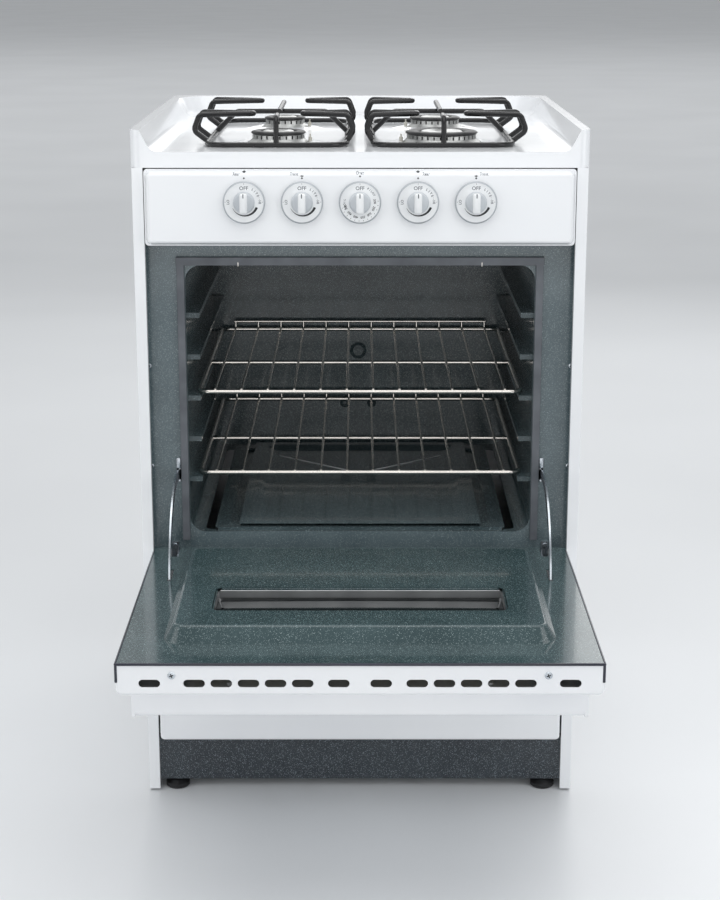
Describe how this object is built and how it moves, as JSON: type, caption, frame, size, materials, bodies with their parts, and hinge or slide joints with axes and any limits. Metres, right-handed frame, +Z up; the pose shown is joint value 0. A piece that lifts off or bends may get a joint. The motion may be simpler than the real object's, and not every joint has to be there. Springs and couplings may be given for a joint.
{
  "type": "freestanding gas range",
  "caption": "White freestanding gas range with drop-down oven door, wire racks, rod grates over the burners, front knobs and a lower drawer.",
  "frame": {"origin": "on the floor, under the middle of the box that holds the range with its door open", "axes": "+X to the right as seen from the front, +Y to the back, +Z up"},
  "size_m": [0.6096, 1.0836, 0.958],
  "materials": {
    "white_enamel": "gloss porcelain enamel on steel",
    "oven_enamel": "gloss speckled porcelain enamel on steel",
    "kick_enamel": "gloss speckled porcelain enamel on steel",
    "grate_enamel": "semi-gloss black enamel on steel rod",
    "cap_enamel": "satin black enamel on cast cap",
    "burner_aluminium": "satin die cast",
    "chrome_wire": "bright plated wire",
    "zinc_steel": "bright zinc plated",
    "galvanised": "galvanised sheet",
    "tube_aluminium": "drawn tube",
    "valve_brass": "machined",
    "pipe_steel": "plated pipe",
    "knob_plastic": "moulded, printed dial",
    "handle_white": "gloss powder coat",
    "gasket_grey": "silicone",
    "window_glass": "tempered glass",
    "frame_aluminised": "aluminised sheet",
    "insulation_wool": "mineral wool blanket",
    "foot_plastic": "moulded",
    "ceramic": "glazed igniter",
    "broiler_enamel": "gloss enamel"
  },
  "bodies": {
    "root": {"base_frame": "galvanised", "bracket_screws": "zinc_steel", "burner_heads": "burner_aluminium", "burner_rails": "galvanised", "burner_supply_tubes": "tube_aluminium", "control_panel": "white_enamel", "cooktop": "white_enamel", "door_gasket": "gasket_grey", "drawer_rails": "galvanised", "gas_manifold": "pipe_steel", "gas_valves": "valve_brass", "hinge_brackets": "zinc_steel", "hinge_pockets": "galvanised", "lower_burner_box": "frame_aluminised", "oven_burner": "pipe_steel", "oven_floor_panel": "oven_enamel", "oven_front_frame": "oven_enamel", "oven_insulation": "insulation_wool", "oven_liner": "oven_enamel", "rear_panel": "galvanised", "side_panel_left": "white_enamel", "side_panel_right": "white_enamel", "spark_igniters": "ceramic", "thermostat_bulb": "zinc_steel", "toe_kick_panel": "kick_enamel"},
    "door": {"door_outer_panel": "white_enamel", "door_liner": "oven_enamel", "window_glasses": "window_glass", "window_frame": "frame_aluminised", "door_insulation": "insulation_wool", "door_handle": "handle_white", "handle_posts": "handle_white", "hinge_arms": "zinc_steel", "door_screws": "zinc_steel"},
    "drawer": {"drawer_front": "white_enamel", "drawer_tray": "galvanised", "drawer_runners": "galvanised", "broiler_pan": "broiler_enamel"},
    "rack_upper": {"rack_upper": "chrome_wire"},
    "rack_lower": {"rack_lower": "chrome_wire"},
    "grate_left": {"grate_left": "grate_enamel"},
    "grate_right": {"grate_right": "grate_enamel"},
    "burner_cap_left_front": {"burner_cap_left_front": "cap_enamel"},
    "burner_cap_right_front": {"burner_cap_right_front": "cap_enamel"},
    "burner_cap_left_rear": {"burner_cap_left_rear": "cap_enamel"},
    "burner_cap_right_rear": {"burner_cap_right_rear": "cap_enamel"},
    "stem_1": {"valve_stem_1": "valve_brass"},
    "knob_1": {"knob_1": "knob_plastic"},
    "stem_2": {"valve_stem_2": "valve_brass"},
    "knob_2": {"knob_2": "knob_plastic"},
    "stem_3": {"valve_stem_3": "valve_brass"},
    "knob_3": {"knob_3": "knob_plastic"},
    "stem_4": {"valve_stem_4": "valve_brass"},
    "knob_4": {"knob_4": "knob_plastic"},
    "stem_5": {"valve_stem_5": "valve_brass"},
    "knob_5": {"knob_5": "knob_plastic"},
    "foot_left_front": {"foot_left_front": "foot_plastic"},
    "foot_left_rear": {"foot_left_rear": "foot_plastic"},
    "foot_right_front": {"foot_right_front": "foot_plastic"},
    "foot_right_rear": {"foot_right_rear": "foot_plastic"}
  },
  "joints": [
    {"name": "door_hinge", "type": "hinge", "parent": "root", "child": "door", "pos_m": [0, -0.102, 0.341], "axis": [-1, 0, 0], "range_deg": [0, 90]},
    {"name": "drawer_slide", "type": "slide", "parent": "root", "child": "drawer", "axis": [0, -1, 0], "range_m": [0, 0.32]},
    {"name": "rack_upper_slide", "type": "slide", "parent": "root", "child": "rack_upper", "axis": [0, 1, 0], "range_m": [-0.3, 0]},
    {"name": "rack_lower_slide", "type": "slide", "parent": "root", "child": "rack_lower", "axis": [0, 1, 0], "range_m": [-0.3, 0]},
    {"name": "grate_left_lift", "type": "slide", "parent": "root", "child": "grate_left", "axis": [0, 0, 1], "range_m": [0, 0.12]},
    {"name": "grate_right_lift", "type": "slide", "parent": "root", "child": "grate_right", "axis": [0, 0, 1], "range_m": [0, 0.12]},
    {"name": "cap_lift_left_front", "type": "slide", "parent": "root", "child": "burner_cap_left_front", "axis": [0, 0, 1], "range_m": [0, 0.006]},
    {"name": "cap_lift_right_front", "type": "slide", "parent": "root", "child": "burner_cap_right_front", "axis": [0, 0, 1], "range_m": [0, 0.006]},
    {"name": "cap_lift_left_rear", "type": "slide", "parent": "root", "child": "burner_cap_left_rear", "axis": [0, 0, 1], "range_m": [0, 0.006]},
    {"name": "cap_lift_right_rear", "type": "slide", "parent": "root", "child": "burner_cap_right_rear", "axis": [0, 0, 1], "range_m": [0, 0.006]},
    {"name": "knob_push_1", "type": "slide", "parent": "root", "child": "stem_1", "axis": [0, 1, 0], "range_m": [0, 0.003], "stiffness_N_per_m": 800},
    {"name": "knob_turn_1", "type": "hinge", "parent": "stem_1", "child": "knob_1", "pos_m": [-0.153, -0.1174, 0.85], "axis": [0, -1, 0], "range_deg": [0, 250]},
    {"name": "knob_push_2", "type": "slide", "parent": "root", "child": "stem_2", "axis": [0, 1, 0], "range_m": [0, 0.003], "stiffness_N_per_m": 800},
    {"name": "knob_turn_2", "type": "hinge", "parent": "stem_2", "child": "knob_2", "pos_m": [-0.0765, -0.1174, 0.85], "axis": [0, -1, 0], "range_deg": [0, 250]},
    {"name": "knob_push_3", "type": "slide", "parent": "root", "child": "stem_3", "axis": [0, 1, 0], "range_m": [0, 0.003], "stiffness_N_per_m": 800},
    {"name": "knob_turn_3", "type": "hinge", "parent": "stem_3", "child": "knob_3", "pos_m": [0, -0.1174, 0.85], "axis": [0, -1, 0], "range_deg": [0, 300]},
    {"name": "knob_push_4", "type": "slide", "parent": "root", "child": "stem_4", "axis": [0, 1, 0], "range_m": [0, 0.003], "stiffness_N_per_m": 800},
    {"name": "knob_turn_4", "type": "hinge", "parent": "stem_4", "child": "knob_4", "pos_m": [0.0765, -0.1174, 0.85], "axis": [0, -1, 0], "range_deg": [0, 250]},
    {"name": "knob_push_5", "type": "slide", "parent": "root", "child": "stem_5", "axis": [0, 1, 0], "range_m": [0, 0.003], "stiffness_N_per_m": 800},
    {"name": "knob_turn_5", "type": "hinge", "parent": "stem_5", "child": "knob_5", "pos_m": [0.153, -0.1174, 0.85], "axis": [0, -1, 0], "range_deg": [0, 250]},
    {"name": "foot_turn_left_front", "type": "hinge", "parent": "root", "child": "foot_left_front", "pos_m": [-0.264, -0.079, 0], "axis": [0, 0, 1], "continuous": true},
    {"name": "foot_turn_left_rear", "type": "hinge", "parent": "root", "child": "foot_left_rear", "pos_m": [-0.264, 0.481, 0], "axis": [0, 0, 1], "continuous": true},
    {"name": "foot_turn_right_front", "type": "hinge", "parent": "root", "child": "foot_right_front", "pos_m": [0.264, -0.079, 0], "axis": [0, 0, 1], "continuous": true},
    {"name": "foot_turn_right_rear", "type": "hinge", "parent": "root", "child": "foot_right_rear", "pos_m": [0.264, 0.481, 0], "axis": [0, 0, 1], "continuous": true}
  ]
}
